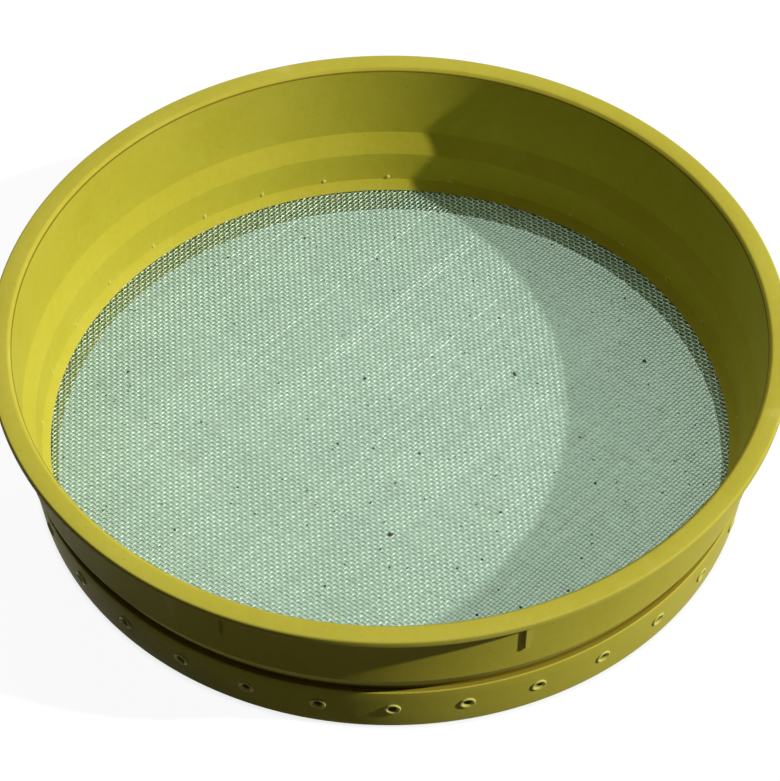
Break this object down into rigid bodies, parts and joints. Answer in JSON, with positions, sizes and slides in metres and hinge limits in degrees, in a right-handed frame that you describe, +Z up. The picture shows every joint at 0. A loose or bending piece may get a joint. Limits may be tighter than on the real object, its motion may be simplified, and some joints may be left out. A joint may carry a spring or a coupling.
{
  "type": "test sieve",
  "caption": "Round test sieve: a stepped, flanged frame and a lower ring clamp a woven wire mesh, riveted round the foot.",
  "frame": {"origin": "centre of the foot of the lower ring, on the surface that the sieve stands on", "axes": "+Z up along the sieve's axis, out of the mouth; the round parts are about +Z"},
  "size_m": [0.212, 0.212, 0.047],
  "materials": {
    "frame_plastic": "satin mustard-yellow moulding",
    "ring_plastic": "satin mustard-yellow moulding",
    "mesh_wire": "drawn wire, pale grey-green, dusty",
    "rivet_plastic": "same yellow as the ring, slightly glossier"
  },
  "bodies": {
    "root": {"upper_frame": "frame_plastic", "clamp_ring": "ring_plastic", "sieve_mesh": "mesh_wire", "ring_rivets": "rivet_plastic"}
  },
  "joints": []
}
